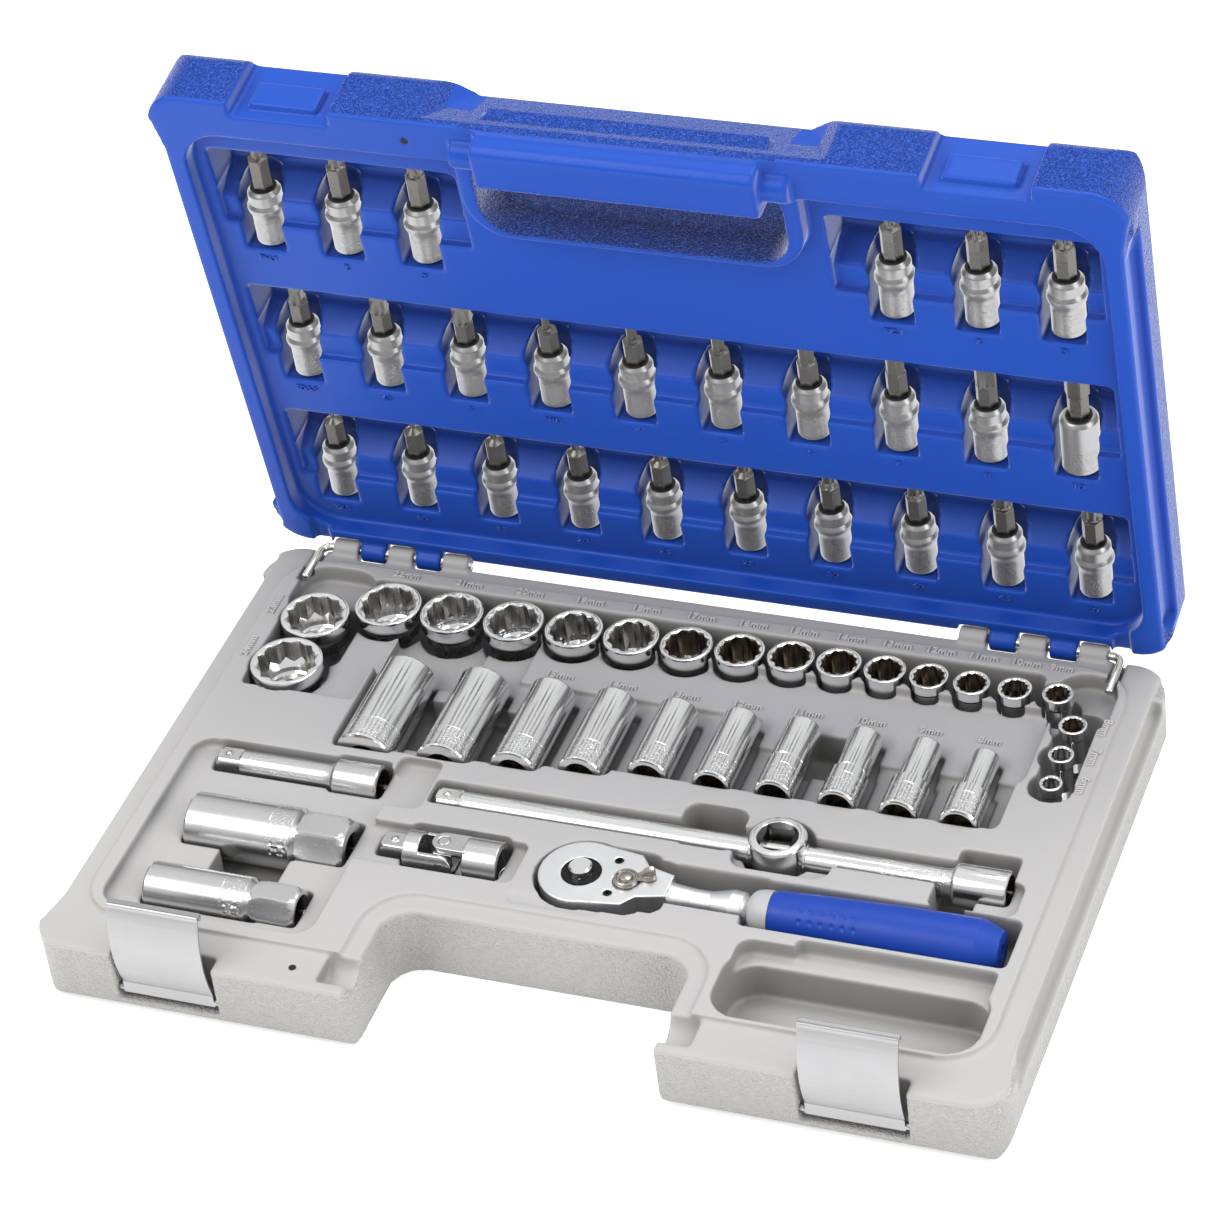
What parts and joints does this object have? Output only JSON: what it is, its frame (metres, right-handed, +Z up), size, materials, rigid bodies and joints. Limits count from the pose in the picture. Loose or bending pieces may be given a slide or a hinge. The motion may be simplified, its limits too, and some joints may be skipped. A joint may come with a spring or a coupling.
{
  "type": "socket wrench set in case",
  "caption": "Hinged blow-moulded case with a socket wrench set: ratchet, extensions, universal joint, upright and deep sockets in the base and screwdriver bits in the lid.",
  "frame": {"origin": "centre of the case's underside", "axes": "+X right along the hinge, -Y front with the latches, +Z up"},
  "size_m": [0.416, 0.3009, 0.3033],
  "materials": {
    "base_plastic": "fine pebble grain outside, smooth satin inside",
    "lid_plastic": "fine pebble grain outside, smooth satin inside",
    "latch_metal": "satin",
    "wire_steel": "drawn wire",
    "tool_chrome": "polished chrome plate",
    "satin_chrome": "satin chrome plate",
    "bit_steel": "dark tempered steel",
    "black_steel": "black oxide",
    "grip_blue": "soft matt",
    "collar_grey": "smooth"
  },
  "bodies": {
    "base": {"base_case": "base_plastic", "hinge_pin_left": "wire_steel", "hinge_pin_right": "wire_steel"},
    "lid": {"lid_case": "lid_plastic", "bit_sleeves": "satin_chrome", "phillips_bits": "bit_steel", "pozidriv_bits": "bit_steel", "slotted_bits": "bit_steel", "hex_bits": "bit_steel", "torx_bits": "bit_steel"},
    "latch_left": {"latch_left": "latch_metal"},
    "latch_right": {"latch_right": "latch_metal"},
    "ratchet": {"ratchet_body": "tool_chrome", "ratchet_ring": "black_steel", "ratchet_screws": "black_steel", "grip_collar": "collar_grey", "grip": "grip_blue"},
    "reverse_lever": {"reverse_lever": "satin_chrome"},
    "drive_gear": {"drive_gear": "satin_chrome"},
    "release_button": {"release_button": "tool_chrome"},
    "long_extension": {"long_extension": "tool_chrome"},
    "slide_head": {"slide_head": "tool_chrome"},
    "short_extension": {"short_extension": "tool_chrome"},
    "joint_socket_end": {"joint_socket_end": "tool_chrome"},
    "joint_cross": {"joint_cross": "satin_chrome"},
    "joint_square_end": {"joint_square_end": "tool_chrome"},
    "spark_socket_21": {"spark_socket_21": "tool_chrome"},
    "spark_socket_16": {"spark_socket_16": "tool_chrome"},
    "socket_6": {"socket_6": "tool_chrome"},
    "socket_7": {"socket_7": "tool_chrome"},
    "socket_8": {"socket_8": "tool_chrome"},
    "socket_9": {"socket_9": "tool_chrome"},
    "socket_10": {"socket_10": "tool_chrome"},
    "socket_11": {"socket_11": "tool_chrome"},
    "socket_12": {"socket_12": "tool_chrome"},
    "socket_13": {"socket_13": "tool_chrome"},
    "socket_14": {"socket_14": "tool_chrome"},
    "socket_15": {"socket_15": "tool_chrome"},
    "socket_16": {"socket_16": "tool_chrome"},
    "socket_17": {"socket_17": "tool_chrome"},
    "socket_18": {"socket_18": "tool_chrome"},
    "socket_19": {"socket_19": "tool_chrome"},
    "socket_20": {"socket_20": "tool_chrome"},
    "socket_21": {"socket_21": "tool_chrome"},
    "socket_22": {"socket_22": "tool_chrome"},
    "socket_23": {"socket_23": "tool_chrome"},
    "socket_24": {"socket_24": "tool_chrome"},
    "deep_socket_8": {"deep_socket_8": "tool_chrome"},
    "deep_socket_9": {"deep_socket_9": "tool_chrome"},
    "deep_socket_10": {"deep_socket_10": "tool_chrome"},
    "deep_socket_11": {"deep_socket_11": "tool_chrome"},
    "deep_socket_12": {"deep_socket_12": "tool_chrome"},
    "deep_socket_13": {"deep_socket_13": "tool_chrome"},
    "deep_socket_14": {"deep_socket_14": "tool_chrome"},
    "deep_socket_15": {"deep_socket_15": "tool_chrome"},
    "deep_socket_17": {"deep_socket_17": "tool_chrome"},
    "deep_socket_19": {"deep_socket_19": "tool_chrome"}
  },
  "joints": [
    {"name": "lid_hinge", "type": "hinge", "parent": "base", "child": "lid", "pos_m": [0, 0.137, 0.0343], "axis": [-1, 0, 0], "range_deg": [-81, 14]},
    {"name": "latch_left_hinge", "type": "hinge", "parent": "base", "child": "latch_left", "pos_m": [-0.1472, -0.1283, 0.013], "axis": [1, 0, 0], "range_deg": [0, 100]},
    {"name": "latch_right_hinge", "type": "hinge", "parent": "base", "child": "latch_right", "pos_m": [0.1472, -0.1283, 0.013], "axis": [1, 0, 0], "range_deg": [0, 100]},
    {"name": "ratchet_lift", "type": "slide", "parent": "base", "child": "ratchet", "axis": [0, 0, 1], "range_m": [0, 0.06]},
    {"name": "long_extension_lift", "type": "slide", "parent": "base", "child": "long_extension", "axis": [0, 0, 1], "range_m": [0, 0.06]},
    {"name": "short_extension_lift", "type": "slide", "parent": "base", "child": "short_extension", "axis": [0, 0, 1], "range_m": [0, 0.06]},
    {"name": "joint_socket_end_lift", "type": "slide", "parent": "base", "child": "joint_socket_end", "axis": [0, 0, 1], "range_m": [0, 0.06]},
    {"name": "spark_socket_21_lift", "type": "slide", "parent": "base", "child": "spark_socket_21", "axis": [0, 0, 1], "range_m": [0, 0.06]},
    {"name": "spark_socket_16_lift", "type": "slide", "parent": "base", "child": "spark_socket_16", "axis": [0, 0, 1], "range_m": [0, 0.06]},
    {"name": "socket_6_lift", "type": "slide", "parent": "base", "child": "socket_6", "axis": [0, 0, 1], "range_m": [0, 0.06]},
    {"name": "socket_7_lift", "type": "slide", "parent": "base", "child": "socket_7", "axis": [0, 0, 1], "range_m": [0, 0.06]},
    {"name": "socket_8_lift", "type": "slide", "parent": "base", "child": "socket_8", "axis": [0, 0, 1], "range_m": [0, 0.06]},
    {"name": "socket_9_lift", "type": "slide", "parent": "base", "child": "socket_9", "axis": [0, 0, 1], "range_m": [0, 0.06]},
    {"name": "socket_10_lift", "type": "slide", "parent": "base", "child": "socket_10", "axis": [0, 0, 1], "range_m": [0, 0.06]},
    {"name": "socket_11_lift", "type": "slide", "parent": "base", "child": "socket_11", "axis": [0, 0, 1], "range_m": [0, 0.06]},
    {"name": "socket_12_lift", "type": "slide", "parent": "base", "child": "socket_12", "axis": [0, 0, 1], "range_m": [0, 0.06]},
    {"name": "socket_13_lift", "type": "slide", "parent": "base", "child": "socket_13", "axis": [0, 0, 1], "range_m": [0, 0.06]},
    {"name": "socket_14_lift", "type": "slide", "parent": "base", "child": "socket_14", "axis": [0, 0, 1], "range_m": [0, 0.06]},
    {"name": "socket_15_lift", "type": "slide", "parent": "base", "child": "socket_15", "axis": [0, 0, 1], "range_m": [0, 0.06]},
    {"name": "socket_16_lift", "type": "slide", "parent": "base", "child": "socket_16", "axis": [0, 0, 1], "range_m": [0, 0.06]},
    {"name": "socket_17_lift", "type": "slide", "parent": "base", "child": "socket_17", "axis": [0, 0, 1], "range_m": [0, 0.06]},
    {"name": "socket_18_lift", "type": "slide", "parent": "base", "child": "socket_18", "axis": [0, 0, 1], "range_m": [0, 0.06]},
    {"name": "socket_19_lift", "type": "slide", "parent": "base", "child": "socket_19", "axis": [0, 0, 1], "range_m": [0, 0.06]},
    {"name": "socket_20_lift", "type": "slide", "parent": "base", "child": "socket_20", "axis": [0, 0, 1], "range_m": [0, 0.06]},
    {"name": "socket_21_lift", "type": "slide", "parent": "base", "child": "socket_21", "axis": [0, 0, 1], "range_m": [0, 0.06]},
    {"name": "socket_22_lift", "type": "slide", "parent": "base", "child": "socket_22", "axis": [0, 0, 1], "range_m": [0, 0.06]},
    {"name": "socket_23_lift", "type": "slide", "parent": "base", "child": "socket_23", "axis": [0, 0, 1], "range_m": [0, 0.06]},
    {"name": "socket_24_lift", "type": "slide", "parent": "base", "child": "socket_24", "axis": [0, 0, 1], "range_m": [0, 0.06]},
    {"name": "deep_socket_8_lift", "type": "slide", "parent": "base", "child": "deep_socket_8", "axis": [0, 0, 1], "range_m": [0, 0.06]},
    {"name": "deep_socket_9_lift", "type": "slide", "parent": "base", "child": "deep_socket_9", "axis": [0, 0, 1], "range_m": [0, 0.06]},
    {"name": "deep_socket_10_lift", "type": "slide", "parent": "base", "child": "deep_socket_10", "axis": [0, 0, 1], "range_m": [0, 0.06]},
    {"name": "deep_socket_11_lift", "type": "slide", "parent": "base", "child": "deep_socket_11", "axis": [0, 0, 1], "range_m": [0, 0.06]},
    {"name": "deep_socket_12_lift", "type": "slide", "parent": "base", "child": "deep_socket_12", "axis": [0, 0, 1], "range_m": [0, 0.06]},
    {"name": "deep_socket_13_lift", "type": "slide", "parent": "base", "child": "deep_socket_13", "axis": [0, 0, 1], "range_m": [0, 0.06]},
    {"name": "deep_socket_14_lift", "type": "slide", "parent": "base", "child": "deep_socket_14", "axis": [0, 0, 1], "range_m": [0, 0.06]},
    {"name": "deep_socket_15_lift", "type": "slide", "parent": "base", "child": "deep_socket_15", "axis": [0, 0, 1], "range_m": [0, 0.06]},
    {"name": "deep_socket_17_lift", "type": "slide", "parent": "base", "child": "deep_socket_17", "axis": [0, 0, 1], "range_m": [0, 0.06]},
    {"name": "deep_socket_19_lift", "type": "slide", "parent": "base", "child": "deep_socket_19", "axis": [0, 0, 1], "range_m": [0, 0.06]},
    {"name": "reverse_lever_turn", "type": "hinge", "parent": "ratchet", "child": "reverse_lever", "pos_m": [0.0255, -0.0455, 0.0375], "axis": [0, 0, 1], "range_deg": [-48, 0]},
    {"name": "drive_turn", "type": "hinge", "parent": "ratchet", "child": "drive_gear", "pos_m": [0.0055, -0.0445, 0.026], "axis": [0, 0, 1], "continuous": true},
    {"name": "button_press", "type": "slide", "parent": "drive_gear", "child": "release_button", "axis": [0, 0, 1], "range_m": [-0.002, 0], "stiffness_N_per_m": 400, "springref_m": 0.002},
    {"name": "head_slide", "type": "slide", "parent": "long_extension", "child": "slide_head", "axis": [1, 0, 0], "range_m": [-0.0028, 0.0028]},
    {"name": "cross_turn", "type": "hinge", "parent": "joint_socket_end", "child": "joint_cross", "pos_m": [-0.0565, -0.0407, 0.03], "axis": [0, 0, 1], "range_deg": [-4, 4]},
    {"name": "square_end_turn", "type": "hinge", "parent": "joint_cross", "child": "joint_square_end", "pos_m": [-0.0565, -0.0407, 0.03], "axis": [0, 1, 0], "range_deg": [0, 35]}
  ]
}
